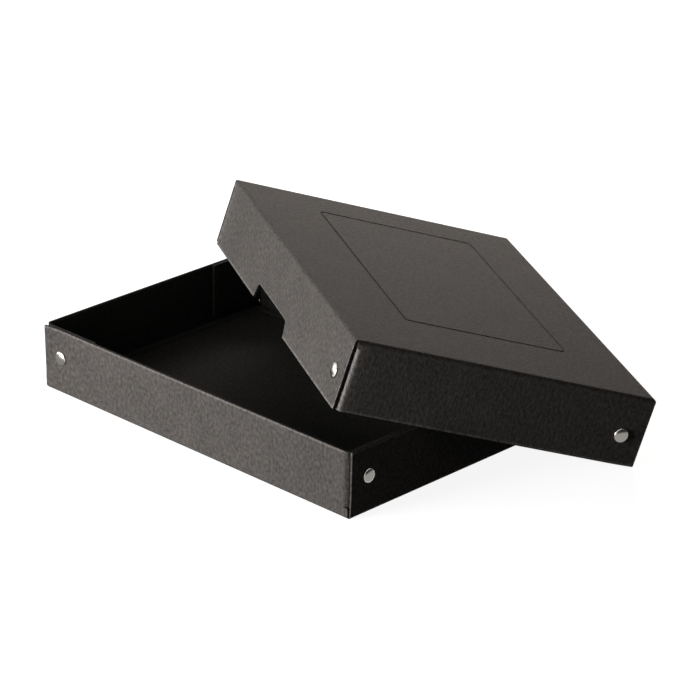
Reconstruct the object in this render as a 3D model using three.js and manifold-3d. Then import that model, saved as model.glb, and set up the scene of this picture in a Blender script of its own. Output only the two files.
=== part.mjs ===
// Storage box of paper-covered board: an open tray, and a loose lid that leans askew over one corner.
// Millimetres, +Z up. The origin is the centre of the tray's underside, and X runs along its long side.
import * as THREE from "three";
import { mergeVertices } from "three/addons/utils/BufferGeometryUtils.js";
import Module from "manifold-3d";

const wasm = await Module();
wasm.setup();

// Tray, measured over its outer faces
const trayLength = 320;
const trayWidth = 227;
const trayHeight = 52;

// Board that the tray and the lid are folded from
const boardThickness = 1.8;
const foldRadius = 3.2; // outside radius of every fold
const beadReach = 5.5; // the crease's bead on the inside: how far it runs onto the panel
const beadHeight = 1.6; // and how far it stands above the panel
const tabReach = 54; // from the corner to the free end of the tab behind the next wall
const tabClearance = 0.4; // between a wall and the tab behind it
const trayTabFoot = 9; // from the panel's outer face up to the foot of each tab
const lidTabFoot = 6;
const trayEndGap = 2; // how far a wall's free end stops short of its neighbour's outer face
const lidEndGap = 1;

// Rivets: a domed cap outside, a shank through wall and tab, and a flatter cap that closes it inside
const rivetInset = 19; // from the neighbouring wall's outer face
const rivetDrop = 22.8; // from the rim
const headDiameter = 11;
const headHeight = 2.2;
const headRimHeight = 0.4;
const shankDiameter = 3.6;
const closerDiameter = 9;
const closerHeight = 1;
const closerRimHeight = 0.3;
const closerSkin = 0.4; // metal left between the closing cap's socket and its face
const pieceClearance = 0.3; // between any two pieces that bear on each other

// Lid
const lidPlay = 0.2; // left between the tray and the rivets inside the lid when the box is shut
const lidRaise = 1.6; // how far short of the table its rim stays when the box is shut
const notchWidth = 82; // thumb notch at the rim of each long wall
const notchDepth = 12.2;
const notchSlant = 3.8; // how much each side of the notch leans in
const notchRadius = 3;
const notchShift = 8; // off the wall's middle, towards the left wall
const frameLength = 223; // the line pressed into the top, measured to its middle
const frameWidth = 129;
const frameShiftLeft = 14; // off the middle of the top, towards the left wall
const frameShiftBack = 6; // and towards the back wall
const frameRadius = 4;
const frameLineWidth = 1.4;
const frameLineDepth = 0.5;

// How the lid leans: turned over the tray's corner, its long sides level, its low rim on the table
const lidYawDegrees = -29.5;
const lidTiltDegrees = 17.4;

const cutOverrun = 1; // how far a cutter runs past the face it cuts
const gridShare = 1 / 1024; // of a millimetre: corners go to this grid, so that faces meant to meet do meet

const foldSteps = 8;
const holeSteps = 24;
const headSteps = 24;
const domeSteps = 4;

// Sizes that follow from those above
const closerSocketDepth = closerHeight - closerSkin;
const tabInnerFace = boardThickness + tabClearance + boardThickness; // from the wall's outer face
const lidAir = tabClearance + boardThickness + pieceClearance + closerHeight + lidPlay;
const lidLength = trayLength + 2 * (lidAir + boardThickness);
const lidWidth = trayWidth + 2 * (lidAir + boardThickness);
const lidHeight = trayHeight + beadHeight + boardThickness - lidRaise;

const boardMaterial = new THREE.MeshStandardMaterial({ color: 0x1d1d1f, roughness: 0.88, metalness: 0 });
const nickelMaterial = new THREE.MeshStandardMaterial({ color: 0xcfccc6, roughness: 0.24, metalness: 1 });

// A closed three.js geometry as a solid that can be joined and cut
function solidOf(geometry) {
  const bare = geometry.clone();
  bare.deleteAttribute("normal");
  bare.deleteAttribute("uv");
  const corners = bare.getAttribute("position").array;
  corners.forEach((value, index) => {
    corners[index] = Math.round(value / gridShare) * gridShare;
  });
  const merged = mergeVertices(bare);
  return new wasm.Manifold(
    new wasm.Mesh({
      numProp: 3,
      vertProperties: new Float32Array(merged.getAttribute("position").array),
      triVerts: new Uint32Array(merged.index.array),
    }),
  );
}

// A solid back as a three.js geometry
function geometryOf(solid) {
  const mesh = solid.getMesh();
  const geometry = new THREE.BufferGeometry();
  geometry.setAttribute("position", new THREE.BufferAttribute(mesh.vertProperties, mesh.numProp));
  geometry.setIndex(new THREE.BufferAttribute(mesh.triVerts, 1));
  geometry.computeVertexNormals();
  return geometry;
}

// An outline pushed along its own +Z
function extruded(shape, depth) {
  const settings = { depth, steps: 1, bevelEnabled: false, curveSegments: foldSteps };
  return new THREE.ExtrudeGeometry(shape, settings);
}

// Turns an outline drawn as inward, up so that it runs along a wall
const alongWall = new THREE.Matrix4().makeBasis(
  new THREE.Vector3(0, 1, 0),
  new THREE.Vector3(0, 0, 1),
  new THREE.Vector3(1, 0, 0),
);

// Turns an outline drawn as along, up so that it runs out through a wall
const throughWall = new THREE.Matrix4().makeBasis(
  new THREE.Vector3(1, 0, 0),
  new THREE.Vector3(0, 0, 1),
  new THREE.Vector3(0, -1, 0),
);

// The four walls in turn, long walls first and third, each running from its free end to its fold: how far
// it runs, how far it is from there to the opposite wall, and its frame, whose +X runs along the wall's
// outer face, +Y inwards and +Z up
function wallsOf(length, width) {
  const corners = [
    [-length / 2, -width / 2],
    [length / 2, -width / 2],
    [length / 2, width / 2],
    [-length / 2, width / 2],
  ];
  return corners.map(([x, y], turn) => {
    const isLong = turn % 2 === 0;
    return {
      isLong,
      run: isLong ? length : width,
      across: isLong ? width : length,
      frame: new THREE.Matrix4().makeRotationZ((turn * Math.PI) / 2).setPosition(x, y, 0),
    };
  });
}

// Wall, bottom fold, crease bead and a strip of the panel, as inward, up
function wallSection(height) {
  const section = new THREE.Shape();
  section.moveTo(foldRadius, 0);
  section.lineTo(boardThickness + beadReach, 0);
  section.lineTo(boardThickness + beadReach, boardThickness);
  section.absellipse(boardThickness, boardThickness, beadReach, beadHeight, 0, Math.PI / 2, false);
  section.lineTo(boardThickness, height);
  section.lineTo(0, height);
  section.lineTo(0, foldRadius);
  section.absarc(foldRadius, foldRadius, foldRadius, Math.PI, 1.5 * Math.PI, false);
  return section;
}

// The end of a wall in plan: round the corner and on as the tab behind the next wall
function tabPlan(run) {
  const tabFace = run - boardThickness - tabClearance;
  const centre = tabFace - foldRadius;
  const plan = new THREE.Shape();
  plan.moveTo(centre - boardThickness, 0);
  plan.lineTo(centre, 0);
  plan.absarc(centre, foldRadius, foldRadius, -Math.PI / 2, 0, false);
  plan.lineTo(tabFace, tabReach);
  plan.lineTo(tabFace - boardThickness, tabReach);
  plan.lineTo(tabFace - boardThickness, foldRadius);
  plan.absarc(centre, foldRadius, foldRadius - boardThickness, 0, -Math.PI / 2, true);
  plan.lineTo(centre - boardThickness, boardThickness);
  return plan;
}

// The outside of the folded board seen from one side: square above, rounded where panel and walls meet
function envelopeOutline(span, height) {
  const outline = new THREE.Shape();
  outline.moveTo(foldRadius, 0);
  outline.lineTo(span - foldRadius, 0);
  outline.absarc(span - foldRadius, foldRadius, foldRadius, -Math.PI / 2, 0, false);
  outline.lineTo(span, height);
  outline.lineTo(0, height);
  outline.lineTo(0, foldRadius);
  outline.absarc(foldRadius, foldRadius, foldRadius, Math.PI, 1.5 * Math.PI, false);
  return outline;
}

// Rivet hole through a wall and the tab behind it, in the wall's frame
function rivetHole(height) {
  const from = -cutOverrun;
  const to = tabInnerFace + cutOverrun;
  const radius = shankDiameter / 2 + pieceClearance;
  const hole = new THREE.CylinderGeometry(radius, radius, to - from, holeSteps);
  return hole.translate(rivetInset, (from + to) / 2, height - rivetDrop);
}

// One sheet folded up: panel, four walls, and four tabs that close the corners
function foldedBoard(length, width, height, tabFoot, endGap) {
  const panel = new THREE.BoxGeometry(length - 2 * foldRadius, width - 2 * foldRadius, boardThickness);
  let board = solidOf(panel.translate(0, 0, boardThickness / 2));
  for (const { run, frame } of wallsOf(length, width)) {
    const straight = run - boardThickness - tabClearance - foldRadius - endGap;
    const wall = extruded(wallSection(height), straight).applyMatrix4(alongWall).translate(endGap, 0, 0);
    const tab = extruded(tabPlan(run), height - tabFoot).translate(0, 0, tabFoot);
    board = board.add(solidOf(wall.applyMatrix4(frame))).add(solidOf(tab.applyMatrix4(frame)));
  }
  for (const { run, across, frame } of wallsOf(length, width)) {
    const outside = extruded(envelopeOutline(across, height), run).applyMatrix4(alongWall);
    const hole = rivetHole(height).applyMatrix4(frame);
    board = board.intersect(solidOf(outside.applyMatrix4(frame))).subtract(solidOf(hole));
  }
  return board;
}

// Thumb notch about a place along a wall's rim, in the wall's frame
function thumbNotch(middle, height) {
  const rim = notchWidth / 2;
  const foot = rim - notchSlant;
  const side = new THREE.Vector2(notchSlant, notchDepth).normalize();
  const notch = new THREE.Shape();
  notch.moveTo(-rim, cutOverrun);
  notch.lineTo(-rim, 0);
  notch.lineTo(-foot - side.x * notchRadius, -notchDepth + side.y * notchRadius);
  notch.quadraticCurveTo(-foot, -notchDepth, -foot + notchRadius, -notchDepth);
  notch.lineTo(foot - notchRadius, -notchDepth);
  notch.quadraticCurveTo(foot, -notchDepth, foot + side.x * notchRadius, -notchDepth + side.y * notchRadius);
  notch.lineTo(rim, 0);
  notch.lineTo(rim, cutOverrun);
  const cutter = extruded(notch, boardThickness + 2 * cutOverrun).applyMatrix4(throughWall);
  return cutter.translate(middle, boardThickness + cutOverrun, height);
}

// A rectangle with round corners, about the origin
function roundedRectangle(path, length, width, radius) {
  const x = length / 2 - radius;
  const y = width / 2 - radius;
  path.absarc(x, -y, radius, -Math.PI / 2, 0, false);
  path.absarc(x, y, radius, 0, Math.PI / 2, false);
  path.absarc(-x, y, radius, Math.PI / 2, Math.PI, false);
  path.absarc(-x, -y, radius, Math.PI, 1.5 * Math.PI, false);
  return path;
}

// The pressed line on the lid's panel, as a cutter that stands in the panel's outer face. The blank lies
// upside down here, so that the lid's back is towards -Y
function pressedFrame() {
  const half = frameLineWidth / 2;
  const ring = roundedRectangle(
    new THREE.Shape(),
    frameLength + frameLineWidth,
    frameWidth + frameLineWidth,
    frameRadius + half,
  );
  const inside = roundedRectangle(
    new THREE.Path(),
    frameLength - frameLineWidth,
    frameWidth - frameLineWidth,
    frameRadius - half,
  );
  ring.holes.push(inside);
  const cutter = extruded(ring, frameLineDepth + cutOverrun);
  return cutter.translate(-frameShiftLeft, -frameShiftBack, -cutOverrun);
}

// The lid's board lies upside down, with its rim up, as the tray does
function lidBoard() {
  const blank = foldedBoard(lidLength, lidWidth, lidHeight, lidTabFoot, lidEndGap);
  let board = blank.subtract(solidOf(pressedFrame()));
  const leftOfMiddle = new THREE.Vector3(-notchShift, 0, 0);
  for (const { frame } of wallsOf(lidLength, lidWidth).filter(({ isLong }) => isLong)) {
    const middle = leftOfMiddle.clone().applyMatrix4(frame.clone().invert()).x;
    board = board.subtract(solidOf(thumbNotch(middle, lidHeight).applyMatrix4(frame)));
  }
  return board;
}

// A shallow dome's outline from its edge to its top, as radius, height
function domeOutline(radius, edgeHeight, topHeight) {
  const outline = [];
  for (let step = 0; step <= domeSteps; step++) {
    const angle = (step / domeSteps) * (Math.PI / 2);
    const rise = (topHeight - edgeHeight) * Math.sin(angle);
    outline.push(new THREE.Vector2(step === domeSteps ? 0 : radius * Math.cos(angle), edgeHeight + rise));
  }
  return outline;
}

// Outer cap and shank, turned about Y, which points out of the wall from the wall's outer face
function rivetGeometry() {
  const shankEnd = -(tabInnerFace + closerSocketDepth);
  const outline = [
    new THREE.Vector2(0, shankEnd),
    new THREE.Vector2(shankDiameter / 2, shankEnd),
    new THREE.Vector2(shankDiameter / 2, pieceClearance),
    new THREE.Vector2(headDiameter / 2, pieceClearance),
    ...domeOutline(headDiameter / 2, pieceClearance + headRimHeight, pieceClearance + headHeight),
  ];
  return new THREE.LatheGeometry(outline, headSteps);
}

// Closing cap on the tab's inner face, turned about Y, which points into the box from that face
function closerGeometry() {
  const socketRadius = shankDiameter / 2 + pieceClearance;
  const outline = [
    new THREE.Vector2(0, pieceClearance + closerSocketDepth),
    new THREE.Vector2(socketRadius, pieceClearance + closerSocketDepth),
    new THREE.Vector2(socketRadius, pieceClearance),
    new THREE.Vector2(closerDiameter / 2, pieceClearance),
    ...domeOutline(closerDiameter / 2, pieceClearance + closerRimHeight, pieceClearance + closerHeight),
  ];
  return new THREE.LatheGeometry(outline, headSteps);
}

// A rivet and its closing cap at the free end of each wall, named after the wall's side
function addRivets(group, half, length, width, height, sides) {
  wallsOf(length, width).forEach(({ frame }, turn) => {
    const corner = new THREE.Group();
    corner.applyMatrix4(frame);
    const rivet = new THREE.Mesh(rivetGeometry(), nickelMaterial);
    rivet.name = `${half}_rivet_${sides[turn]}`;
    rivet.position.set(rivetInset, 0, height - rivetDrop);
    rivet.rotation.x = Math.PI;
    const closer = new THREE.Mesh(closerGeometry(), nickelMaterial);
    closer.name = `${half}_rivet_cap_${sides[turn]}`;
    closer.position.set(rivetInset, tabInnerFace, height - rivetDrop);
    corner.add(rivet, closer);
    group.add(corner);
  });
}

function makeTray() {
  const tray = new THREE.Group();
  const folded = foldedBoard(trayLength, trayWidth, trayHeight, trayTabFoot, trayEndGap);
  const board = new THREE.Mesh(geometryOf(folded), boardMaterial);
  board.name = "tray_board";
  tray.add(board);
  addRivets(tray, "tray", trayLength, trayWidth, trayHeight, ["front", "right", "back", "left"]);
  return tray;
}

// The lid the right way up, with the middle of its rim plane at the origin
function makeLid() {
  const turned = new THREE.Group();
  const board = new THREE.Mesh(geometryOf(lidBoard()), boardMaterial);
  board.name = "lid_board";
  turned.add(board);
  addRivets(turned, "lid", lidLength, lidWidth, lidHeight, ["back", "right", "front", "left"]);
  turned.rotation.x = Math.PI;
  turned.position.z = lidHeight;
  const lid = new THREE.Group();
  lid.add(turned);
  return lid;
}

// Sets the lid down: its low long rim lies level on the table, and the rims of its two short walls cross
// the tray's right and back walls, each bearing on the wall's outer top edge
function leanLid(lid) {
  const tilt = THREE.MathUtils.degToRad(lidTiltDegrees);
  const rotation = new THREE.Euler(-tilt, 0, THREE.MathUtils.degToRad(lidYawDegrees), "ZYX");
  const rise = pieceClearance + (lidWidth / 2) * Math.sin(tilt);
  const crossing = (rise - trayHeight - pieceClearance) / Math.sin(tilt);
  const shortWallFace = lidLength / 2 - boardThickness;
  const onRight = new THREE.Vector3(shortWallFace, crossing, 0).applyEuler(rotation);
  const onBack = new THREE.Vector3(-shortWallFace, crossing, 0).applyEuler(rotation);
  lid.rotation.copy(rotation);
  lid.position.set(trayLength / 2 - onRight.x, trayWidth / 2 - onBack.y, rise);
}

const box = new THREE.Group();
const lid = makeLid();
leanLid(lid);
box.add(makeTray(), lid);

export default box;
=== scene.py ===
"""Storage box of paper-covered board: an open tray, and a loose lid that leans askew on it.

Metres, +Z up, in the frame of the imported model. Tray and lid are each one folded, riveted sheet.
"""

import logging
import math
from collections.abc import Iterable, Sequence
from dataclasses import dataclass, field
from enum import Enum

import bpy
import numpy as np
from mathutils import Euler, Matrix, Vector


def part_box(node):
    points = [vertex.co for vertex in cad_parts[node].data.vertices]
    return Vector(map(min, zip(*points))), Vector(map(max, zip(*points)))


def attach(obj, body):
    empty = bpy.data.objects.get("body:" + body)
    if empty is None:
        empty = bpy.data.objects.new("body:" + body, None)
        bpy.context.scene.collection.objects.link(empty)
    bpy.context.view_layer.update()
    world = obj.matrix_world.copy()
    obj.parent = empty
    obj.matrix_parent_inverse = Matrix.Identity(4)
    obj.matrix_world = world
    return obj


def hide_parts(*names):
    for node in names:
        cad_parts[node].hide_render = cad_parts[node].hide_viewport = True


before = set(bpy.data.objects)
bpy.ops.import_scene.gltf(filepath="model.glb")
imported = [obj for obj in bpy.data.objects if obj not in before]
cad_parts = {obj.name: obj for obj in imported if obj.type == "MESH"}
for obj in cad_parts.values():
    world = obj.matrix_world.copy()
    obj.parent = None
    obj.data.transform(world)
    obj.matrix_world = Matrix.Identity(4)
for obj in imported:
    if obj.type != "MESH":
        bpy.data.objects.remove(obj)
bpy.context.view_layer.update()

log = logging.getLogger("storage_box")

MM = 0.001
QUARTER = math.pi / 2
GRAIN_LAYER = "grain"
POLISH_AND_HIGHLIGHT_LAYER = "worn"
SHARP = math.radians(50)

BEAD_AT_EDGE = 2 / 3
LID_AIR = 1.2 * MM
CARD_LIFT = 0.05 * MM
UPWARDS = (0.0, 0.0, 1.0)
MIDDLE = 0.5
CORNERS = ((0, 0), (1, 0), (1, 1), (0, 1))

Grain = tuple[float, float]
Place = tuple[float, float]
Numbers = dict[tuple[int, int], int]


class Half(Enum):
    """The two halves of the box, by the name of their body."""

    TRAY = "tray"
    LID = "lid"


class Side(Enum):
    """A wall's side, by the quarter turns from the blank's first wall."""

    FIRST = 0
    SECOND = 1
    THIRD = 2
    FOURTH = 3

    @property
    def is_long(self) -> bool:
        """Whether the wall runs along the box's length."""
        return self.value % 2 == 0


class Face(Enum):
    """What a face of the board is, by its place among the board's materials."""

    OUTSIDE = 0
    INSIDE = 1
    CUT = 2


class Value:
    """A shader socket that takes part in sums like a number."""

    def __init__(self, shader: "Shader", socket: bpy.types.NodeSocket) -> None:
        """Wraps an output socket of a shader's node."""
        self.shader = shader
        self.socket = socket

    def _math(self, operation: str, first: "Value | float", second: "Value | float") -> "Value":
        """What a Math node makes of two values."""
        return self.shader.node("ShaderNodeMath", {"operation": operation}, {0: first, 1: second})

    def __add__(self, other: "Value | float") -> "Value":
        """self + other."""
        return self._math("ADD", self, other)

    def __radd__(self, other: float) -> "Value":
        """other + self."""
        return self._math("ADD", other, self)

    def __sub__(self, other: "Value | float") -> "Value":
        """self - other."""
        return self._math("SUBTRACT", self, other)

    def __rsub__(self, other: float) -> "Value":
        """other - self."""
        return self._math("SUBTRACT", other, self)

    def __mul__(self, other: "Value | float") -> "Value":
        """self * other."""
        return self._math("MULTIPLY", self, other)

    def __rmul__(self, other: float) -> "Value":
        """other * self."""
        return self._math("MULTIPLY", other, self)

    def at_least(self, other: "Value | float") -> "Value":
        """The larger of the two."""
        return self._math("MAXIMUM", self, other)


class Shader:
    """A material's node tree, with one way to add any node to it."""

    def __init__(self, owner: bpy.types.Material | bpy.types.World) -> None:
        """Takes over a material's or a world's nodes, and empties them.

        Args:
            owner: The material or the world.
        """
        owner.use_nodes = True
        self.owner = owner
        self.tree = owner.node_tree
        self.tree.nodes.clear()

    def node(
        self,
        kind: str,
        settings: dict[str, object] | None = None,
        sockets: dict[str | int, object] | None = None,
        output: str | int = 0,
    ) -> Value:
        """Adds a node.

        Args:
            kind: The node's type.
            settings: Its own settings, which are set before its sockets.
            sockets: A value or a link for each input that is set, by name or place.
            output: The output that is wanted, by name or place.

        Returns:
            That output.
        """
        made = self.tree.nodes.new(kind)
        for key, setting in (settings or {}).items():
            setattr(made, key, setting)
        for key, value in (sockets or {}).items():
            if isinstance(value, Value):
                self.tree.links.new(value.socket, made.inputs[key])
            else:
                made.inputs[key].default_value = value
        return Value(self, made.outputs[output])

    def blend(self, factor: Value, first: object, second: object) -> Value:
        """Two colours or links mixed: the first at factor 0 and the second at 1."""
        sockets = {"Factor": factor, 6: first, 7: second}
        return self.node("ShaderNodeMix", {"data_type": "RGBA"}, sockets, output=2)

    def finish(self, surface: Value, kind: str = "ShaderNodeOutputMaterial") -> None:
        """Links a surface to an output node of this type."""
        output = self.tree.nodes.new(kind)
        self.tree.links.new(surface.socket, output.inputs["Surface"])

    def principled(self, sockets: dict[str | int, object]) -> bpy.types.Material:
        """Shows a Principled surface with these inputs, and gives the material."""
        self.finish(self.node("ShaderNodeBsdfPrincipled", None, sockets))
        return self.owner

    def glowing(self, colour: object, glow: object) -> bpy.types.Material:
        """Shows a matt surface that glows.

        Args:
            colour: Its colour, or a link.
            glow: The colour of its own light, or a link.

        Returns:
            The material.
        """
        sockets = {"Base Color": colour, "Roughness": 1.0, "Specular IOR Level": 0.0}
        return self.principled(sockets | {"Emission Color": glow, "Emission Strength": 1.0})


def grey(level: float, tint: Sequence[float] = (1.0, 1.0, 1.0)) -> tuple[float, ...]:
    """A grey of a linear value, its red, green and blue multiplied by the tint."""
    return (*(level * share for share in tint), 1.0)


@dataclass(frozen=True)
class CoveringPaper:
    """Matt covering paper with a fine cloth-like grain. It is polished where it is folded, and a
    painted highlight lightens it at folds, rims and ends.

    Attributes:
        tones: How much the speckle, the threads, the fibres and the clouds lighten it.
        highlight_spread: How much of the painted highlight lies evenly, along the fibres and in
            specks.
    """

    name: str
    level: float
    tint: tuple[float, float, float] = (1.08, 0.985, 0.92)
    contrast: float = 0.44
    matt: float = 0.8
    # Painted highlight: how many times lighter than the paper its colour gets where the worn layer
    # is full.
    painted_highlight: float = 4.0
    specular: float = 0.07
    polish: float = 0.8
    polish_roughness: float = 0.34
    speckle: tuple[float, float] = (2.5 * MM, 3.2 * MM)
    threads: tuple[float, float] = (0.9 * MM, 9.0 * MM)
    cloud_size: float = 30 * MM
    fibre_size: float = 0.6 * MM
    relief: float = 0.22 * MM
    tones: tuple[float, float, float, float] = (1.4, 0.4, 0.3, 0.35)
    highlight_spread: tuple[float, float, float] = (0.9, 2.0, 2.5)
    fine_relief: float = 0.5
    matt_spread: float = 0.15

    def material(self) -> bpy.types.Material:
        """Makes the paper's material.

        Returns:
            The material.
        """
        shader = Shader(bpy.data.materials.new(self.name))
        place = shader.node("ShaderNodeUVMap", {"uv_map": GRAIN_LAYER})
        speckle = self._noise(shader, place, self.speckle, detail=1.5)
        threads = self._noise(shader, place, self.threads, detail=1.0)
        fibres = self._noise(shader, place, (self.fibre_size, self.fibre_size), detail=2.0)
        clouds = self._noise(shader, place, (self.cloud_size, self.cloud_size), detail=2.0)
        of_speckle, of_threads, of_fibres, of_clouds = self.tones
        tone = MIDDLE + speckle * of_speckle + threads * of_threads
        tone = tone + fibres * of_fibres + clouds * of_clouds
        low, high = self.level * (1 - self.contrast), self.level * (1 + self.contrast)
        colour = shader.blend(tone, grey(low, self.tint), grey(high, self.tint))
        # Painted highlight: the worn layer lightens the colour where light catches folds, rims and
        # ends. It also sets the coat's real polish.
        name = {"attribute_name": POLISH_AND_HIGHLIGHT_LAYER}
        worn = shader.node("ShaderNodeAttribute", name, output="Fac")
        evenly, by_fibres, by_speckle = self.highlight_spread
        painted_highlight = worn * (evenly + fibres * by_fibres + speckle * by_speckle)
        colour = shader.blend(painted_highlight, colour, grey(self.level * self.painted_highlight, self.tint))
        height = speckle + threads * self.fine_relief + fibres * self.fine_relief
        normal = shader.node("ShaderNodeBump", None, {"Height": height, "Distance": self.relief})
        return shader.principled(
            {
                "Base Color": colour,
                "Roughness": self.matt + fibres * self.matt_spread,
                "Specular IOR Level": self.specular,
                "Coat Weight": worn * worn * self.polish,
                "Coat Roughness": self.polish_roughness,
                "Normal": normal,
            }
        )

    def _noise(
        self, shader: Shader, place: Value, cell: tuple[float, float], detail: float
    ) -> Value:
        """Adds noise that is stretched over the sheet.

        Args:
            shader: The material.
            place: The place on the sheet.
            cell: The size of the noise's cells across and along the grain.
            detail: The number of finer layers.

        Returns:
            The noise, about zero.
        """
        stretch = (1 / cell[0], 1 / cell[1], 1.0)
        operation = {"operation": "MULTIPLY"}
        scaled = shader.node("ShaderNodeVectorMath", operation, {0: place, 1: stretch})
        sockets = {"Vector": scaled, "Scale": 1.0, "Detail": detail, "Roughness": 0.6}
        return shader.node("ShaderNodeTexNoise", {"noise_dimensions": "2D"}, sockets) - MIDDLE


@dataclass(frozen=True)
class NickelPlate:
    """Bright nickel plate on a pressed cap, a little worn by handling."""

    name: str = "nickel_plate"
    colour: tuple[float, float, float, float] = (0.66, 0.63, 0.58, 1.0)
    roughness: float = 0.22
    wear: float = 0.18
    wear_size: float = 1.6 * MM
    relief: float = 0.01 * MM

    def material(self) -> bpy.types.Material:
        """Makes the plate's material.

        Returns:
            The material.
        """
        shader = Shader(bpy.data.materials.new(self.name))
        place = shader.node("ShaderNodeTexCoord", output="Object")
        sockets = {"Vector": place, "Scale": 1 / self.wear_size, "Detail": 4.0}
        worn = shader.node("ShaderNodeTexNoise", None, sockets)
        normal = shader.node("ShaderNodeBump", None, {"Height": worn, "Distance": self.relief})
        roughness = self.roughness + (worn - MIDDLE) * self.wear
        sockets = {"Base Color": self.colour, "Metallic": 1.0, "Roughness": roughness}
        return shader.principled(sockets | {"Normal": normal})


@dataclass(frozen=True)
class PaleFloor:
    """A pale floor that keeps a shadow, and that throws little light back up at the box."""

    name: str = "pale_floor"
    seen: float = 0.5
    thrown: float = 0.1
    glow: float = 0.9

    def material(self) -> bpy.types.Material:
        """Makes the floor's material.

        Returns:
            The material.
        """
        shader = Shader(bpy.data.materials.new(self.name))
        looked_at = seen_directly(shader)
        colour = shader.blend(looked_at, grey(self.thrown), grey(self.seen))
        return shader.glowing(colour, shader.blend(looked_at, grey(0.0), grey(self.glow)))


def seen_directly(shader: Shader) -> Value:
    """Where the camera sees a surface, straight on or in metal or glass.

    Args:
        shader: The material or world to add it to.

    Returns:
        1 there and 0 for the light that surfaces throw on each other.
    """
    rays = ("Is Camera Ray", "Is Glossy Ray", "Is Transmission Ray")
    camera, glossy, through = (shader.node("ShaderNodeLightPath", output=ray) for ray in rays)
    return camera.at_least(glossy).at_least(through)


def smooth_mesh(
    name: str, points: Iterable[Sequence[float]], faces: Sequence[Sequence[int]]
) -> bpy.types.Mesh:
    """Makes a mesh that is smooth between its sharp edges.

    Args:
        name: The mesh's name.
        points: Its points.
        faces: The numbers of each face's points.

    Returns:
        The mesh.
    """
    mesh = bpy.data.meshes.new(name)
    mesh.from_pydata([tuple(point) for point in points], [], faces)
    mesh.validate()
    mesh.shade_smooth()
    mesh.set_sharp_from_angle(angle=SHARP)
    return mesh


def rectangle(
    name: str, width: float, height: float, finish: bpy.types.Material
) -> bpy.types.Object:
    """Adds a flat rectangle for the studio, which isn't part of the box.

    Args:
        name: Its name.
        width: Its size along X.
        height: Its size along Y.
        finish: Its material.

    Returns:
        The rectangle, about the origin and facing up.
    """
    mesh = bpy.data.meshes.new(name)
    corners = [((x - MIDDLE) * width, (y - MIDDLE) * height, 0.0) for x, y in CORNERS]
    mesh.from_pydata(corners, [], [(0, 1, 2, 3)])
    mesh.materials.append(finish)
    flat = bpy.data.objects.new(name, mesh)
    bpy.context.scene.collection.objects.link(flat)
    return flat


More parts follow.
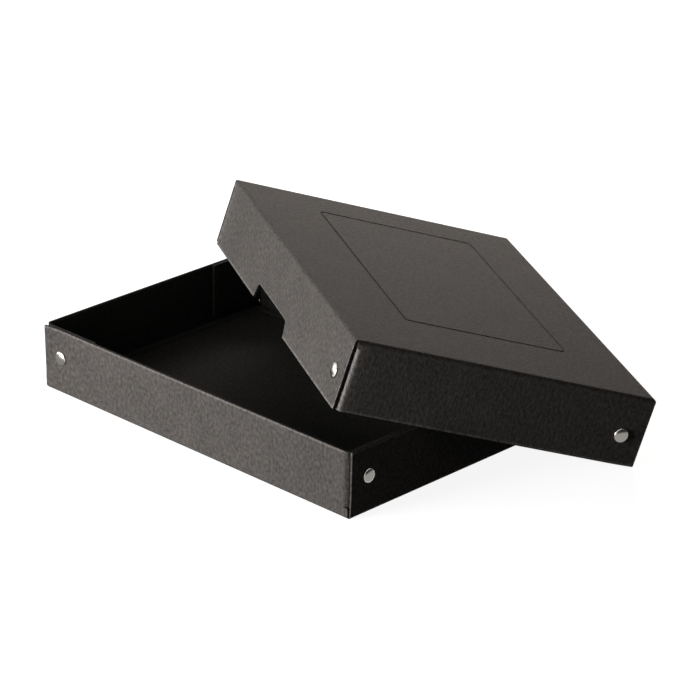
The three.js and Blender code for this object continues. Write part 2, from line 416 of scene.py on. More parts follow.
class BoardSheet:
    """A sheet of board given by its two faces, closed along its cut edges by a rounded edge."""

    ROUND_STEPS = 3
    LEAST_MITRE = 0.3

    def __init__(self, edge_radius: float) -> None:
        """Starts an empty sheet.

        Args:
            edge_radius: The radius to which the cut edges are softened.
        """
        self.edge_radius = edge_radius
        self.outer: list[Vector] = []
        self.inner: list[Vector] = []
        self.worn: list[float] = []
        self.cut_polish_and_highlight: list[float] = []
        self.quads: list[tuple[int, ...]] = []
        self.grain: list[tuple[Grain, ...]] = []

    def point(self, outer: Vector, inner: Vector, worn: float, cut_polish_and_highlight: float = 0.0) -> int:
        """Adds a point of the sheet.

        Args:
            outer: Its place on the outer face.
            inner: Its place on the inner face.
            worn: How polished the paper is there, and how strongly a highlight is painted on it,
                from 0 to 1.
            cut_polish_and_highlight: The same for a cut edge there, from 0 to 1.

        Returns:
            Its number.
        """
        self.outer.append(outer)
        self.inner.append(inner)
        self.worn.append(worn)
        self.cut_polish_and_highlight.append(cut_polish_and_highlight)
        return len(self.outer) - 1

    def quad(self, corners: Sequence[int], grain: Sequence[Grain]) -> None:
        """Adds a quad, counterclockwise from outside, with each corner's place on the paper."""
        self.quads.append(tuple(corners))
        self.grain.append(tuple(grain))

    def _cut_edges(self) -> list[tuple[int, int, int]]:
        """The edges that only one quad has.

        Returns:
            For each, its two points in the quad's order, and the quad.
        """
        owners: dict[tuple[int, int], list[tuple[int, int, int]]] = {}
        for number, quad in enumerate(self.quads):
            for a, b in zip(quad, quad[1:] + quad[:1]):
                owners.setdefault((min(a, b), max(a, b)), []).append((a, b, number))
        return [found[0] for found in owners.values() if len(found) == 1]

    def _outwards(self, edges: Iterable[tuple[int, int, int]]) -> dict[int, Vector]:
        """Which way the sheet's edge faces at each point on it.

        Args:
            edges: The cut edges.

        Returns:
            For each point, the way out, as long as a corner's mitre asks.
        """
        sides: dict[int, list[Vector]] = {}
        for a, b, quad in edges:
            p, q, r = (self.outer[self.quads[quad][k]] for k in (0, 1, 2))
            normal = (q - p).cross(r - q).normalized()
            out = (self.outer[b] - self.outer[a]).cross(normal).normalized()
            for point in (a, b):
                sides.setdefault(point, []).append(out)
        mitres = {}
        for point, ways in sides.items():
            first, last = ways[0], ways[-1]
            mitres[point] = (first + last) / max(1 + first.dot(last), self.LEAST_MITRE)
        return mitres

    def _ring(self, number: int, out: Vector) -> list[Vector]:
        """The points round the sheet's edge, from its outer to its inner face.

        Args:
            number: The sheet's point.
            out: The way out of the edge.

        Returns:
            The points.
        """
        outer, inner, radius = self.outer[number], self.inner[number], self.edge_radius
        through = (outer - inner).normalized()
        angles = [QUARTER * k / self.ROUND_STEPS for k in range(self.ROUND_STEPS + 1)]
        turn = [(radius * (1 - math.sin(k)), radius * (1 - math.cos(k))) for k in angles]
        ring = [outer - out * back - through * down for back, down in turn]
        return ring + [inner - out * back + through * down for back, down in reversed(turn)]

    def mesh(self, name: str) -> bpy.types.Mesh:
        """Makes the closed mesh.

        Args:
            name: The mesh's name.

        Returns:
            The mesh, with its grain layer, its layer of polish and painted highlight, and its
            faces' materials.
        """
        edges = self._cut_edges()
        outwards = self._outwards(edges)
        points: list[Vector] = []
        worn: list[float] = []
        rings: list[list[int]] = []
        for number, (outer, inner) in enumerate(zip(self.outer, self.inner)):
            out = outwards.get(number)
            ring = [outer, inner] if out is None else self._ring(number, out)
            rings.append(list(range(len(points), len(points) + len(ring))))
            points += ring
            # The worn layer carries polish and a painted highlight, and the cut edge's share goes
            # round its ring.
            cut = [self.cut_polish_and_highlight[number]] * (len(ring) - 2)
            worn += [self.worn[number], *cut, self.worn[number]]
        faces: list[list[int]] = []
        kinds: list[int] = []
        grain: list[Grain] = []
        for quad, places in zip(self.quads, self.grain):
            faces.append([rings[k][0] for k in quad])
            faces.append([rings[k][-1] for k in reversed(quad)])
            kinds += [Face.OUTSIDE.value, Face.INSIDE.value]
            grain += [*places, *reversed(places)]
        for a, b, number in edges:
            quad = self.quads[number]
            at_a, at_b = (self.grain[number][quad.index(k)] for k in (a, b))
            pairs = zip(rings[a], rings[a][1:], rings[b], rings[b][1:])
            for low, (a0, a1, b0, b1) in enumerate(pairs):
                shift = low * self.edge_radius
                faces.append([b0, a0, a1, b1])
                kinds.append(Face.CUT.value)
                grain += [at_b, at_a, (at_a[0], at_a[1] + shift), (at_b[0], at_b[1] + shift)]
        mesh = smooth_mesh(name, points, faces)
        mesh.polygons.foreach_set("material_index", kinds)
        layer = mesh.uv_layers.new(name=GRAIN_LAYER)
        layer.data.foreach_set("uv", np.array(grain, np.float32).ravel())
        mesh.attributes.new(POLISH_AND_HIGHLIGHT_LAYER, "FLOAT", "POINT").data.foreach_set("value", worn)
        return mesh


@dataclass(frozen=True)
class Groove:
    """A line pressed into the lid's top along a rectangle with round corners."""

    length: float = 223 * MM
    width: float = 129 * MM
    shift_left: float = 14 * MM
    shift_back: float = 6 * MM
    corner: float = 4 * MM
    line_width: float = 1.8 * MM
    depth: float = 0.75 * MM
    shoulder: float = 0.1 * MM

    STEPS_ACROSS = 4
    SHOWS_INSIDE = 0.5

    def lines(self, middle: float, span: float) -> list[float]:
        """Where the sheet needs lines for the groove, along one axis.

        Args:
            middle: The rectangle's middle on that axis.
            span: Its size on that axis.

        Returns:
            The places.
        """
        fine = self.line_width / self.STEPS_ACROSS
        reach = self.corner + self.line_width
        count = round((reach + self.line_width * 2) / fine)
        found = []
        for way in (-1, 1):
            edge = middle + way * span / 2
            found += [edge + way * (self.line_width * 2 - fine * k) for k in range(count + 1)]
        return found

    def press(self, x: float, y: float) -> float:
        """How far the board is pressed in.

        Args:
            x: The place along the blank's length.
            y: The place across it.

        Returns:
            The depth there, below zero on the raised shoulders.
        """
        across = abs(x + self.shift_left) - (self.length / 2 - self.corner)
        along = abs(y + self.shift_back) - (self.width / 2 - self.corner)
        outside = math.hypot(max(across, 0.0), max(along, 0.0))
        distance = abs(outside + min(max(across, along), 0.0) - self.corner)
        half = self.line_width / 2
        if distance < half:
            return self.depth * (0.5 + 0.5 * math.cos(math.pi * distance / half))
        if distance < 3 * half:
            return -self.shoulder * math.sin(math.pi * (distance - half) / (2 * half))
        return 0.0


@dataclass(frozen=True)
class ThumbNotch:
    """A notch in the rim of each long wall, with leaning sides and round corners at its foot."""

    width: float = 82 * MM
    depth: float = 12.2 * MM
    slant: float = 3.8 * MM
    radius: float = 3 * MM
    shift_left: float = 8 * MM

    BEND_STEPS = 4

    def outline(self) -> list[Place]:
        """Half the notch's outline, from its middle out.

        Returns:
            Places as distance from the middle, depth below the rim.
        """
        foot = self.width / 2 - self.slant
        side = Vector((self.slant, self.depth)).normalized()
        start = Vector((foot - self.radius, self.depth))
        bend = Vector((foot, self.depth))
        end = Vector((foot + side.x * self.radius, self.depth - side.y * self.radius))
        places = [(0.0, self.depth)]
        for k in range(self.BEND_STEPS + 1):
            t = k / self.BEND_STEPS
            p = start * (1 - t) ** 2 + bend * 2 * t * (1 - t) + end * t**2
            places.append((p.x, p.y))
        rim = Vector((self.width / 2, 0.0))
        places += [tuple((end + rim) / 2), tuple(rim)]
        return places

    def lines(self) -> list[float]:
        """Where the sheet needs lines for the notch, along the blank's length."""
        sides = [distance for distance, _ in self.outline()[1:]]
        return [way * distance - self.shift_left for distance in sides for way in (-1, 1)]

    def cut(self, x: float) -> float:
        """How far the rim is cut down at a place along the blank's length."""
        distances, depths = zip(*self.outline())
        return float(np.interp(abs(x + self.shift_left), distances, depths, right=0.0))


@dataclass(frozen=True)
class Station:
    """A place along a wall's sheet: on the wall, in the margin at its free end, or past its fold.

    Attributes:
        along: The distance along the wall.
        bend: The distance on the sheet from the start of the corner fold.
        joined: The panel's point below it.
        free: Its share of the way from the panel's edge to the wall's free end.
    """

    along: float
    bend: float = 0.0
    joined: int | None = None
    free: float = 0.0

    @property
    def run(self) -> float:
        """The distance from the wall's free end, measured on the sheet."""
        return self.along + self.bend


@dataclass(frozen=True)
class Level:
    """A place up a wall's sheet: round its bottom fold from 0 to 1, and then its height."""

    turn: float
    up: float


@dataclass
class FoldedBlank:
    """One sheet of board folded up: a panel, and four walls with a tab each behind the next wall.

    The panel lies at the bottom and the rim is at the top. Each wall starts at its free end and
    runs counterclockwise, seen from above, to its fold.
    """

    length: float
    width: float
    height: float
    tab_foot: float
    end_gap: float
    thickness: float = 1.8 * MM
    fold_radius: float = 3.2 * MM
    bead_reach: float = 5.5 * MM
    bead_height: float = 1.6 * MM
    tab_reach: float = 54 * MM
    tab_clearance: float = 0.4 * MM
    foot_gap: float = 0.9 * MM
    foot_reach: float = 3.4 * MM
    foot_slit: float = 0.02 * MM
    tab_drop: float = 0.4 * MM
    edge_radius: float = 0.35 * MM
    rivet_inset: float = 19 * MM
    rivet_drop: float = 22.8 * MM
    rim_dip: float = 0.5 * MM
    tip_drop: float = 0.5 * MM
    dip_reach: float = 22 * MM
    flare: dict[Side, float] = field(default_factory=dict)
    bow: float = 0.25 * MM
    dimple: float = 0.15 * MM
    dimple_reach: float = 6 * MM
    crease: float = 0.22 * MM
    crease_reach: float = 1.5 * MM
    # Polish and painted highlight, 0 to 1: on the corner folds, along the panel's edge, under the
    # rim, just before the corner fold, and at the free end and its cut edge.
    fold_flat: float = 0.6
    fold_polish_and_highlight: float = 1.0
    panel_polish_and_highlight: float = 0.03
    rim_polish_and_highlight: float = 0.3
    rim_band: float = 2.4 * MM
    near_fold_polish_and_highlight: float = 0.4
    near_fold_reach: float = 4 * MM
    end_polish_and_highlight: float = 0.6
    end_cut_polish_and_highlight: float = 0.0
    line_depth: float = 0.4 * MM
    sag: float = 0.0
    cell: float = 5 * MM
    fold_steps: int = 6
    groove: Groove | None = None
    notch: ThumbNotch | None = None
    sheet: BoardSheet = field(init=False)

    END_ROUND = 0.95
    FOOT_SHARE = 0.6
    BAND_SHARE = 0.75
    ABOVE_FOLD = 1 * MM
    LEAST_CELL = 0.3 * MM
    SLACK = 1e-3 * MM

    def __post_init__(self) -> None:
        """Sets the sheet up and works out the sizes that follow."""
        self.sheet = BoardSheet(self.edge_radius)
        self.fold_start = self.thickness + self.tab_clearance + self.fold_radius
        self.arc = self.fold_radius * QUARTER

    def _spans(self, side: Side) -> tuple[float, float]:
        """The blank's size along a wall and across it."""
        return (self.length, self.width) if side.is_long else (self.width, self.length)

    def _corner(self, side: Side) -> Matrix:
        """The frame of a wall: X along it from its free end's corner, Y inwards."""
        run, across = self._spans(side)
        turn = Matrix.Rotation(QUARTER * side.value, 4, "Z")
        return turn @ Matrix.Translation((-run / 2, -across / 2, 0.0))

    def _lines(self, span: float, extra: Iterable[float]) -> list[float]:
        """The panel's grid lines along one axis.

        Args:
            span: The blank's outer size on that axis.
            extra: Places that need a line.

        Returns:
            The lines, in order.
        """
        edge = span / 2 - self.fold_radius
        bead = self.thickness + self.bead_reach - self.fold_radius
        line = [bead + self.edge_radius * k for k in (0, 1, 2)]
        insets = [0.0, self.thickness + self.tab_clearance, *line]
        fixed = {round(way * (edge - inset), 7) for inset in insets for way in (-1, 1)}
        for place in sorted(extra):
            if all(abs(place - known) > self.LEAST_CELL for known in fixed):
                fixed.add(round(place, 7))
        lines: list[float] = []
        known = sorted(fixed)
        for low, high in zip(known, known[1:]):
            count = max(1, math.ceil((high - low) / self.cell))
            lines += [low + (high - low) * k / count for k in range(count)]
        return lines + [known[-1]]

    def _bead(self, turn: float) -> tuple[float, float]:
        """A point on the crease's bead.

        Args:
            turn: 0 at the wall and 1 at the panel.

        Returns:
            Its place as inwards from the wall's outer face, up.
        """
        angle = QUARTER * turn
        inwards = self.thickness + self.bead_reach * math.sin(angle)
        return inwards, self.thickness + self.bead_height * math.cos(angle)

    def _inner_panel(self, place: float, edge: float) -> tuple[float, float]:
        """The inner face of the panel along one axis.

        Args:
            place: The outer face's place on that axis.
            edge: The panel's edge on that axis.

        Returns:
            The inner face's place and its height.
        """
        end = self.thickness + self.bead_reach - self.fold_radius
        turn = BEAD_AT_EDGE + (1 - BEAD_AT_EDGE) * (edge - abs(place)) / end
        if turn > 1:
            past = (edge - abs(place) - end) / self.edge_radius
            return place, self.thickness - self.line_depth * max(0.0, 1 - abs(past - 1))
        inwards, up = self._bead(turn)
        return math.copysign(edge + self.fold_radius - inwards, place), up

    def _panel(self, xs: list[float], ys: list[float]) -> Numbers:
        """Builds the panel.

        Args:
            xs: Its grid lines along the length.
            ys: Its grid lines across.

        Returns:
            The number of each grid point.
        """
        points = {}
        for i, x in enumerate(xs):
            for j, y in enumerate(ys):
                press = self.groove.press(x, y) if self.groove else 0.0
                sunk = self.sag * math.cos(QUARTER * x / xs[-1]) * math.cos(QUARTER * y / ys[-1])
                inner_x, up_x = self._inner_panel(x, xs[-1])
                inner_y, up_y = self._inner_panel(y, ys[-1])
                up = max(up_x, up_y) + sunk + max(press, 0.0) * Groove.SHOWS_INSIDE
                at_edge = i in (0, len(xs) - 1) or j in (0, len(ys) - 1)
                outer, inner = Vector((x, y, sunk + press)), Vector((inner_x, inner_y, up))
                points[i, j] = self.sheet.point(outer, inner, self.panel_polish_and_highlight * at_edge)
        for i in range(len(xs) - 1):
            for j in range(len(ys) - 1):
                around = [(i + b, j + a) for a, b in CORNERS]
                grain = [(xs[a], ys[b]) for a, b in around]
                self.sheet.quad([points[key] for key in around], grain)
        return points

    def _rim(self, side: Side, station: Station) -> float:
        """The rim's height along a wall.

        Args:
            side: The wall.
            station: The place along it.

        Returns:
            The height.
        """
        if station.bend > 0:
            return self.height - self.tab_drop * min(station.bend / self.arc, 1.0)
        run, _ = self._spans(side)
        dip = self.rim_dip * max(0.0, 1 - station.along / self.dip_reach) ** 2
        dip += self.tip_drop * max(0.0, station.free * 2 - 1)
        cut = 0.0
        if self.notch and side.is_long and station.along < run - self.fold_start:
            way = 1 if side is Side.FIRST else -1
            cut = self.notch.cut(way * (station.along - run / 2))
        return self.height - dip - cut

    def _lean(self, side: Side, along: float, up: float) -> float:
        """How far a wall stands inwards of flat.

        Args:
            side: The wall.
            along: The distance from its free end.
            up: The height.

        Returns:
            The distance, below zero where it stands out.
        """
        run, _ = self._spans(side)
        share = up / self.height
        out = self.flare.get(side, 0.0) * max(0.0, 1 - along / self.dip_reach) ** 2 * share
        out += self.bow * math.sin(math.pi * min(max(along / run, 0.0), 1.0)) * share
        apart = math.hypot(along - self.rivet_inset, up - (self.height - self.rivet_drop))
        pulled = self.dimple * math.exp(-0.5 * (apart / self.dimple_reach) ** 2)
        return pulled - out

    def _fold_section(self, turn: float, joined: bool) -> tuple[Place, Place]:
        """The wall's section in its bottom fold.

        Args:
            turn: How far round the fold, from 0 at the panel to 1 at the wall.
            joined: Whether the panel's bead lies behind it.

        Returns:
            The outer and the inner face's place as inwards, up.
        """
        across, rise = 1 - math.sin(QUARTER * turn), 1 - math.cos(QUARTER * turn)
        outer = (self.fold_radius * across, self.fold_radius * rise)
        if joined:
            return outer, self._bead(BEAD_AT_EDGE * (1 - turn))
        small = self.fold_radius - self.thickness
        return outer, (self.thickness + small * across, self.thickness + small * rise)

    def _wall_section(self, side: Side, station: Station, up: float) -> tuple[Place, Place]:
        """The wall's section above its bottom fold.

        Args:
            side: The wall.
            station: The place along the wall.
            up: The height that the place would have under an uncut rim.

        Returns:
            The outer and the inner face's place as inwards, up.
        """
        start = self.height / 2
        if up > start:
            up = start + (up - start) * (self._rim(side, station) - start) / (self.height - start)
        middle = self.fold_radius + self.crease_reach
        crease = self.crease * math.exp(-(((up - middle) / self.crease_reach) ** 2))
        lean = self._lean(side, station.along, up)
        at_fold = up <= self.fold_radius and station.joined is not None
        inner_up = self.thickness + self.bead_height if at_fold else up
        return (lean + crease * (station.bend == 0.0), up), (lean + self.thickness, inner_up)

    def _bent(self, run: float, station: Station, place: Place) -> Vector:
        """A wall's point, carried round the corner fold.

        Args:
            run: The wall's length.
            station: The place along the wall.
            place: The point's place as inwards, up.

        Returns:
            The point in the wall's frame.
        """
        inwards, up = place
        if station.bend <= 0.0:
            low = min(max(up / self.tab_foot - self.FOOT_SHARE, 0.0), 1.0)
            gap = self.foot_gap + (self.end_gap - self.foot_gap) * low
            left = max(1 - up / self.fold_radius, 0.0)
            gap = max(gap, self.END_ROUND * self.fold_radius * (1 - math.sqrt(1 - left**2)))
            return Vector((station.along - station.free * (station.along - gap), inwards, up))
        share = min(station.bend / self.arc, 1.0)
        radius, flat = self.fold_radius - inwards, self.fold_flat
        along = math.sin(QUARTER * share) * (1 - flat) + share * flat
        back = math.cos(QUARTER * share) * (1 - flat) + (1 - share) * flat
        x = run - self.fold_start + radius * along
        y = self.fold_radius - radius * back
        return Vector((x, y + max(station.bend - self.arc, 0.0), up))

    def _polish_and_highlight(self, run: float, station: Station, level: Level) -> float:
        """How polished the paper is at a point of a wall, and how strongly a highlight is painted
        there.

        Args:
            run: The wall's length.
            station: The place along the wall.
            level: The place up it.

        Returns:
            0 to 1.
        """
        round_corner = math.sin(math.pi * min(station.bend / self.arc, 1.0))
        along_panel = self.panel_polish_and_highlight if level.turn < 1 else 0.0
        on_wall = station.bend <= 0.0
        in_band = level.up > self.height - self.rim_band * self.BAND_SHARE
        at_rim = self.rim_polish_and_highlight if in_band and on_wall else 0.0
        at_end = self.end_polish_and_highlight if station.free == 1.0 and level.turn == 1 else 0.0
        before = (run - self.fold_start - station.along) / self.near_fold_reach
        near_fold = self.near_fold_polish_and_highlight * math.exp(-before) if on_wall and level.turn == 1 else 0.0
        return max(self.fold_polish_and_highlight * round_corner, along_panel, at_rim, at_end, near_fold)

    def _stations(self, side: Side, lines: list[float], joined: list[int]) -> list[Station]:
        """The places along a wall, from its free end to its tab's end.

        Args:
            side: The wall.
            lines: The panel's lines along the wall.
            joined: The panel's point at each line.

        Returns:
            The places.
        """
        run, _ = self._spans(side)
        start = run - self.fold_start
        found = [Station(lines[0], free=share) for share in (1.0, 0.5)]
        end = start + self.SLACK
        found += [Station(at, 0.0, point) for at, point in zip(lines, joined) if at < end]
        steps = self.fold_steps
        found += [Station(start, self.arc * (k + 1) / steps) for k in range(steps)]
        reach = self.tab_reach - self.fold_radius
        count = math.ceil(reach / self.cell)
        return found + [Station(start, self.arc + reach * (k + 1) / count) for k in range(count)]

    def _levels(self) -> list[Level]:
        """The places up a wall, from the panel to the rim.

        Returns:
            The places.
        """
        levels = [Level(k / self.fold_steps, 0.0) for k in range(self.fold_steps)]
        low = self.fold_radius
        foot = (low, low + self.ABOVE_FOLD, self.tab_foot - self.foot_slit)
        levels += [Level(1.0, up) for up in foot]
        top = self.height - self.rim_band
        count = math.ceil((top - self.tab_foot) / self.cell)
        step = (top - self.tab_foot) / count
        levels += [Level(1.0, self.tab_foot + step * k) for k in range(count + 1)]
        return levels + [Level(1.0, self.height - self.rim_band / 2), Level(1.0, self.height)]

    def _wall(self, side: Side, lines: list[float], joined: list[int]) -> None:
        """Builds a wall with its bottom fold, its corner fold, its tab, and its foot below the tab.

        Args:
            side: The wall.
            lines: The panel's lines along the wall, from its free end on.
            joined: The panel's point at each line.
        """
        levels = self._levels()
        stations = self._stations(side, lines, joined)
        points = self._points(side, stations, levels)
        self._quads(points, stations, levels)
        last = next(k for k, station in enumerate(stations) if station.bend > 0.0) - 1
        foot_levels = [level for level in levels if level.up < self.tab_foot]
        foot = [stations[last]]
        foot += [Station(foot[0].along + self.foot_reach * k / 2) for k in (1, 2)]
        foot_points = self._points(side, foot[1:], foot_levels)
        shared = {(0, row): points[last, row] for row in range(len(foot_levels))}
        shared |= {(column + 1, row): point for (column, row), point in foot_points.items()}
        self._quads(shared, foot, foot_levels)

    def _points(self, side: Side, stations: list[Station], levels: list[Level]) -> Numbers:
        """Adds a wall's points.

        Args:
            side: The wall.
            stations: The places along it.
            levels: The places up it.

        Returns:
            The number of each point.
        """
        run, _ = self._spans(side)
        corner = self._corner(side)
        points = {}
        for column, station in enumerate(stations):
            for row, level in enumerate(levels):
                in_panel = station.joined is not None
                if level.turn == 0.0 and in_panel:
                    points[column, row] = station.joined
                    continue
                if station.bend > 0.0 and level.up < self.tab_foot:
                    continue
                if level.turn < 1:
                    faces = self._fold_section(level.turn, in_panel)
                else:
                    faces = self._wall_section(side, station, level.up)
                outer, inner = (corner @ self._bent(run, station, face) for face in faces)
                # Polish and painted highlight of the cut edge and of the face.
                cut = self.end_cut_polish_and_highlight if station.free == 1.0 else 0.0
                wear = self._polish_and_highlight(run, station, level)
                points[column, row] = self.sheet.point(outer, inner, wear, cut)
        return points

    def _quads(self, points: Numbers, stations: list[Station], levels: list[Level]) -> None:
        """Adds the quads between a wall's points.

        Args:
            points: The number of each point.
            stations: The places along the wall.
            levels: The places up it.
        """
        low = self.fold_radius
        heights = [level.up or low + self.arc * (level.turn - 1) for level in levels]
        for column in range(len(stations) - 1):
            for row in range(len(levels) - 1):
                around = [(column + i, row + j) for i, j in CORNERS]
                if all(key in points for key in around):
                    grain = [(stations[a].run, heights[b]) for a, b in around]
                    self.sheet.quad([points[key] for key in around], grain)

    def build(self, name: str) -> bpy.types.Mesh:
        """Builds the folded sheet.

        Args:
            name: The mesh's name.

        Returns:
            The mesh.
        """
        extra_x: list[float] = []
        extra_y: list[float] = []
        if self.groove:
            extra_x += self.groove.lines(-self.groove.shift_left, self.groove.length)
            extra_y += self.groove.lines(-self.groove.shift_back, self.groove.width)
        if self.notch:
            extra_x += self.notch.lines()
        xs, ys = self._lines(self.length, extra_x), self._lines(self.width, extra_y)
        panel = self._panel(xs, ys)
        columns, rows = range(len(xs)), range(len(ys))
        edges = {
            Side.FIRST: (xs, [panel[k, 0] for k in columns]),
            Side.SECOND: (ys, [panel[columns[-1], k] for k in rows]),
            Side.THIRD: (xs, [panel[k, rows[-1]] for k in columns]),
            Side.FOURTH: (ys, [panel[0, k] for k in rows]),
        }
        for side, (lines, joined) in edges.items():
            half = self._spans(side)[0] / 2
            if side in (Side.THIRD, Side.FOURTH):
                lines, joined = [-line for line in reversed(lines)], joined[::-1]
            self._wall(side, [line + half for line in lines], joined)
        return self.sheet.mesh(name)

    def rivet_frames(self) -> dict[Side, Matrix]:
        """Where each wall's rivet sits, with Z out of the wall from its outer face.

        Returns:
            The frame of each wall's rivet, in the blank's frame.
        """
        place = (self.rivet_inset, 0.0, self.height - self.rivet_drop)
        at_wall = Matrix.Translation(place) @ Matrix.Rotation(QUARTER, 4, "X")
        return {side: self._corner(side) @ at_wall for side in Side}


def lathe(name: str, outline: Sequence[Place], segments: int) -> bpy.types.Mesh:
    """Turns an outline about Z.

    Args:
        name: The mesh's name.
        outline: Points as radius, height, from the axis at the bottom to the axis at the top.
        segments: The number of steps round.

    Returns:
        The closed mesh.
    """
    points: list[tuple[float, float, float]] = []
    rings: list[list[int]] = []
    for radius, height in outline:
        if radius == 0.0:
            rings.append([len(points)] * segments)
            points.append((0.0, 0.0, height))
            continue
        rings.append(list(range(len(points), len(points) + segments)))
        for k in range(segments):
            angle = 2 * math.pi * k / segments
            points.append((radius * math.cos(angle), radius * math.sin(angle), height))
    faces = []
    for low, high in zip(rings, rings[1:]):
        for k in range(segments):
            n = (k + 1) % segments
            faces.append(list(dict.fromkeys([low[k], low[n], high[n], high[k]])))
    return smooth_mesh(name, points, faces)


@dataclass(frozen=True)
class Rivet:
    """A cap rivet: a domed cap with its shank outside, and a dished cap that closes it inside."""

    head_diameter: float = 11 * MM
    head_height: float = 2.2 * MM
    rim_height: float = 0.4 * MM
    shank_diameter: float = 3.6 * MM
    closer_diameter: float = 9 * MM
    closer_height: float = 1.0 * MM
    closer_skin: float = 0.4 * MM
    dish_diameter: float = 3.4 * MM
    dish_depth: float = 0.3 * MM
    dish_floor: float = 0.7
    closer_side: float = 0.94
    closer_top: float = 0.8
    gap: float = 0.3 * MM
    stack: float = 4.0 * MM
    segments: int = 64
    steps: int = 10

    def _dome(self, radius: float, edge: float, top: float) -> list[Place]:
        """A shallow dome from its edge up to the axis.

        Args:
            radius: The radius of its edge.
            edge: The height of its edge.
            top: The height of its top.

        Returns:
            Its outline as radius, height.
        """
        places = []
        for k in range(self.steps + 1):
            angle = QUARTER * k / self.steps
            reach = 0.0 if k == self.steps else radius * math.cos(angle)
            places.append((reach, edge + (top - edge) * math.sin(angle)))
        return places

    def head(self, name: str) -> bpy.types.Mesh:
        """The outer cap with its shank, with Z out of the wall from the wall's outer face.

        Args:
            name: The mesh's name.

        Returns:
            The mesh.
        """
        end = -(self.stack + self.closer_height - self.closer_skin)
        radius, curl = self.head_diameter / 2, self.rim_height / 2
        outline = [(0.0, end), (self.shank_diameter / 2, end), (self.shank_diameter / 2, self.gap)]
        outline += [(radius - curl, self.gap), (radius, self.gap + curl)]
        outline += self._dome(radius, self.gap + self.rim_height, self.gap + self.head_height)
        return lathe(name, outline, self.segments)

    def closer(self, name: str) -> bpy.types.Mesh:
        """The inner cap, with Z into the box from the tab's inner face.

        Args:
            name: The mesh's name.

        Returns:
            The mesh.
        """
        socket = self.shank_diameter / 2 + self.gap
        depth = self.gap + self.closer_height - self.closer_skin
        top = self.gap + self.closer_height
        radius, curl = self.closer_diameter / 2, self.rim_height / 2
        outline = [(0.0, depth), (socket, depth), (socket, self.gap)]
        outline += [(radius - curl, self.gap), (radius, self.gap + curl)]
        dish = self.dish_diameter / 2
        outline += [(radius * self.closer_side, top - curl), (radius * self.closer_top, top)]
        bottom = top - self.dish_depth
        outline += [(dish, top), (dish * self.dish_floor, bottom), (0.0, bottom)]
        return lathe(name, outline, self.segments)


@dataclass
class BoxHalf:
    """The tray or the lid: its folded board and its four rivets, placed in the row frame."""

    half: Half
    blank: FoldedBlank
    place: Matrix
    names: dict[Side, str]
    board_finishes: list[bpy.types.Material]
    metal: bpy.types.Material
    rivet: Rivet = Rivet()

    def _piece(
        self, name: str, mesh: bpy.types.Mesh, place: Matrix, node: str
    ) -> bpy.types.Object:
        """Adds a piece that stands for a node.

        Args:
            name: The piece's name.
            mesh: Its mesh.
            place: Where the mesh goes.
            node: The node that it stands for.

        Returns:
            The piece.
        """
        mesh.transform(place)
        piece = bpy.data.objects.new(name, mesh)
        bpy.context.scene.collection.objects.link(piece)
        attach(piece, self.half.value)
        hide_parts(node)
        log.info("%s stands for %s", name, node)
        return piece

    def build(self) -> None:
        """Builds the board and the rivets, and dresses them."""
        name = f"{self.half.value}_board"
        board = self.blank.build(f"{name}_sheet")
        for finish in self.board_finishes:
            board.materials.append(finish)
        self._piece(f"{name}_sheet", board, self.place, name)
        stack = Matrix.Translation((0.0, 0.0, -self.rivet.stack))
        parts = (
            ("rivet", "head", self.rivet.head, Matrix.Identity(4)),
            ("rivet_cap", "inner", self.rivet.closer, stack @ Matrix.Rotation(math.pi, 4, "X")),
        )
        for side, at_wall in self.blank.rivet_frames().items():
            for part, end, shape, turn in parts:
                node = f"{self.half.value}_{part}_{self.names[side]}"
                mesh = shape(f"{node}_{end}")
                mesh.materials.append(self.metal)
                place = self.place @ at_wall @ turn
                self._piece(f"{node}_{end}", mesh, place, node)


@dataclass(frozen=True)
class Lean:
    """How the lid leans: one rim on the table, and the short walls' rims on the tray's rim."""

    yaw: float = math.radians(-29.5)
    tilt: float = math.radians(17.4)
    clearance: float = 0.3 * MM

    def place(self, tray: FoldedBlank, lid: FoldedBlank) -> Matrix:
        """Where the lid's blank goes, which is built the other way up.

        Args:
            tray: The tray's blank.
            lid: The lid's blank.

        Returns:
            The lid's place.
        """
        turn = Euler((-self.tilt, 0.0, self.yaw), "XYZ").to_matrix()
        rise = self.clearance + lid.width / 2 * math.sin(self.tilt)
        crossing = (rise - tray.height - self.clearance) / math.sin(self.tilt)
        face = lid.length / 2 - lid.thickness
        on_right = turn @ Vector((face, crossing, 0.0))
        on_back = turn @ Vector((-face, crossing, 0.0))
        middle = Vector((tray.length / 2 - on_right.x, tray.width / 2 - on_back.y, rise))
        over = Matrix.Translation((0.0, 0.0, lid.height)) @ Matrix.Rotation(math.pi, 4, "X")
        return Matrix.Translation(middle) @ turn.to_4x4() @ over


@dataclass(frozen=True)
class Lamp:
    """A large soft lamp that points at the box."""

    name: str
    azimuth: float
    elevation: float
    width: float
    height: float
    power: float
    distance: float = 1.7
    aim_height: float = 30 * MM
    tint: tuple[float, float, float] = (1.0, 1.0, 1.0)

    def build(self) -> None:
        """Sets the lamp up."""
        data = bpy.data.lights.new(self.name, "AREA")
        data.shape = "RECTANGLE"
        data.size, data.size_y = self.width, self.height
        data.energy = self.power
        data.color = self.tint
        lamp = bpy.data.objects.new(self.name, data)
        around, above = math.radians(self.azimuth), math.radians(self.elevation)
        level = math.cos(above)
        way = Vector((math.cos(around) * level, math.sin(around) * level, math.sin(above)))
        place = way * self.distance + Vector((0.0, 0.0, self.aim_height))
        turn = way.to_track_quat("Z", "Y").to_matrix().to_4x4()
        lamp.matrix_world = Matrix.Translation(place) @ turn
        lamp.visible_camera = False
        bpy.context.scene.collection.objects.link(lamp)


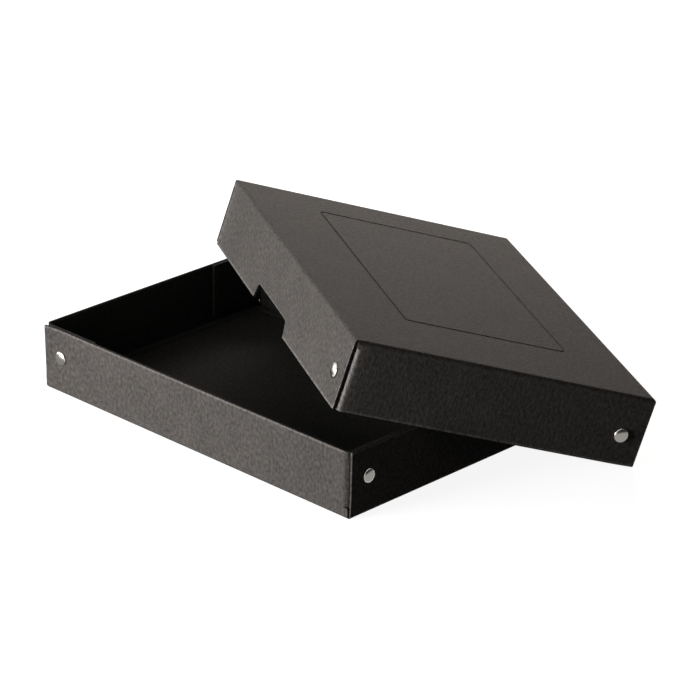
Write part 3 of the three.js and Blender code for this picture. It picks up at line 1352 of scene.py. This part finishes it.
@dataclass(frozen=True)
class Card:
    """A card that only reflections show, which gives the polished metal its darker side."""

    name: str
    middle: tuple[float, float, float]
    facing: tuple[float, float, float]
    width: float
    height: float
    level: float

    def build(self) -> None:
        """Sets the card up."""
        shader = Shader(bpy.data.materials.new(self.name))
        finish = shader.glowing(grey(0.0), grey(self.level))
        card = rectangle(self.name, self.width, self.height, finish)
        turn = Vector(self.facing).to_track_quat("Z", "Y").to_matrix().to_4x4()
        card.matrix_world = Matrix.Translation(self.middle) @ turn
        card.visible_camera = card.visible_diffuse = card.visible_shadow = False
        card.visible_transmission = False


@dataclass(frozen=True)
class Studio:
    """The floor, the lights, the background and the camera."""

    azimuth: float = math.radians(43.673)
    elevation: float = math.radians(23.294)
    roll: float = math.radians(1.003)
    distance: float = 2.4675
    aim: tuple[float, float, float] = (0.0, 0.0, 0.020)
    pan: float = 36.45 * MM
    rise: float = 23.87 * MM
    focal_pixels: float = 3305.4
    image_pixels: float = 700.0
    sensor: float = 36.0
    floor_size: float = 12.0
    floor_drop: float = 0.05 * MM
    ambient: float = 0.03
    lamps: tuple[Lamp, ...] = (
        Lamp("key", azimuth=247, elevation=11, width=1.25, height=0.7, power=16.8),
        Lamp("near", azimuth=258, elevation=13, width=0.5, height=0.5, power=6.0, distance=1.0),
        Lamp("left", azimuth=200, elevation=12, width=0.7, height=0.7, power=5.8),
        Lamp(
            "back",
            azimuth=127,
            elevation=21,
            width=0.6,
            height=0.6,
            power=9.0,
            distance=1.2,
            tint=(1.07, 1.0, 0.94),
        ),
    )
    cards: tuple[Card, ...] = (
        Card("front_card", (-0.5, -0.4, CARD_LIFT), UPWARDS, width=0.8, height=0.6, level=0.3),
        Card("right_card", (0.62, 0.3, CARD_LIFT), UPWARDS, width=0.9, height=1.2, level=0.42),
        Card("left_card", (-0.6, 0.0, 0.075), (1.0, 0.0, 0.0), width=0.35, height=0.15, level=0.0),
        Card("side_card", (0.9, 0.2, 0.6), (-1.0, 0.0, 0.0), width=2.4, height=1.2, level=0.03),
    )

    def camera(self) -> None:
        """Sets the camera at the photograph's viewpoint."""
        a, e, r = self.azimuth, self.elevation, self.roll
        back = Vector((math.sin(a) * math.cos(e), -math.cos(a) * math.cos(e), math.sin(e)))
        flat = Vector((math.cos(a), math.sin(a), 0.0))
        upright = back.cross(flat)
        right = flat * math.cos(r) + upright * math.sin(r)
        up = upright * math.cos(r) - flat * math.sin(r)
        place = Vector(self.aim) + back * self.distance + right * self.pan + up * self.rise
        data = bpy.data.cameras.new("camera")
        data.sensor_width = self.sensor
        data.lens = self.sensor * self.focal_pixels / self.image_pixels
        data.clip_end = self.floor_size * 2
        camera = bpy.data.objects.new("camera", data)
        turn = Matrix((right, up, back)).transposed().to_4x4()
        camera.matrix_world = Matrix.Translation(place) @ turn
        bpy.context.scene.collection.objects.link(camera)
        bpy.context.scene.camera = camera

    def background(self) -> None:
        """Sets a white background that throws only a little light on the box."""
        world = bpy.data.worlds.new("studio")
        bpy.context.scene.world = world
        shader = Shader(world)
        looked_at = seen_directly(shader)
        colour = shader.blend(looked_at, grey(self.ambient), grey(1.0))
        surface = shader.node("ShaderNodeBackground", None, {"Color": colour, "Strength": 1.0})
        shader.finish(surface, "ShaderNodeOutputWorld")

    def floor(self) -> None:
        """Lays the floor at the tray's underside."""
        floor = rectangle("floor", self.floor_size, self.floor_size, PaleFloor().material())
        floor.location.z = -self.floor_drop

    def build(self) -> None:
        """Sets the whole studio up."""
        bpy.context.scene.view_settings.view_transform = "Standard"
        self.camera()
        for item in self.lamps + self.cards:
            item.build()
        self.background()
        self.floor()


def main() -> None:
    """Builds the tray, the lid and the studio."""
    logging.basicConfig(level=logging.INFO, format="%(name)s: %(message)s")
    Studio().build()
    low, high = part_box("tray_board")
    size = high - low
    tray = FoldedBlank(
        size.x,
        size.y,
        size.z,
        tab_foot=9 * MM,
        end_gap=2 * MM,
        foot_gap=1.5 * MM,
        foot_reach=3.8 * MM,
        # Painted highlight, with some polish, at the tray's folds and free ends, strongest on the
        # cut ends where light catches the strip at the near corner.
        fold_polish_and_highlight=0.1,
        near_fold_polish_and_highlight=0.0,
        end_polish_and_highlight=0.2,
        end_cut_polish_and_highlight=0.6,
        flare=dict(zip(Side, (2 * MM, 0.5 * MM, 0.7 * MM, 0.6 * MM))),
    )
    rivet = Rivet()
    grown = 2 * (tray.thickness + rivet.head_height + rivet.gap + LID_AIR)
    lid = FoldedBlank(
        size.x + grown,
        size.y + grown,
        size.z + tray.thickness,
        tab_foot=6 * MM,
        end_gap=1 * MM,
        foot_reach=3.0 * MM,
        # Painted highlight, with polish, at the lid's free ends and just before its corner folds,
        # where light catches the fold.
        near_fold_polish_and_highlight=0.25,
        end_polish_and_highlight=1.0,
        flare={side: 0.1 * MM for side in Side},
        sag=0.4 * MM,
        groove=Groove(),
        notch=ThumbNotch(),
    )
    finishes = [
        CoveringPaper("covering_paper", level=0.09).material(),
        # Painted shade: the inside faces get a paper a third as light as the outside, for the shade
        # inside the box, though the board is one colour through.
        CoveringPaper("inner_paper_shaded", level=0.03, tint=(1.06, 1.0, 0.92)).material(),
        # Painted shade: the cut edges are made near black for the shade on the rims and in the
        # lid's corner gap. A painted highlight lightens the tray's cut ends where light catches
        # them.
        CoveringPaper("cut_board_shaded_and_highlit", level=0.02, contrast=0.4, painted_highlight=7.0).material(),
    ]
    metal = NickelPlate().material()
    words = {
        Half.TRAY: ("front", "right", "back", "left"),
        Half.LID: ("back", "right", "front", "left"),
    }
    places = {Half.TRAY: Matrix.Identity(4), Half.LID: Lean().place(tray, lid)}
    for half, blank in ((Half.TRAY, tray), (Half.LID, lid)):
        names = dict(zip(Side, words[half]))
        BoxHalf(half, blank, places[half], names, finishes, metal).build()


if __name__ == "__main__":
    main()
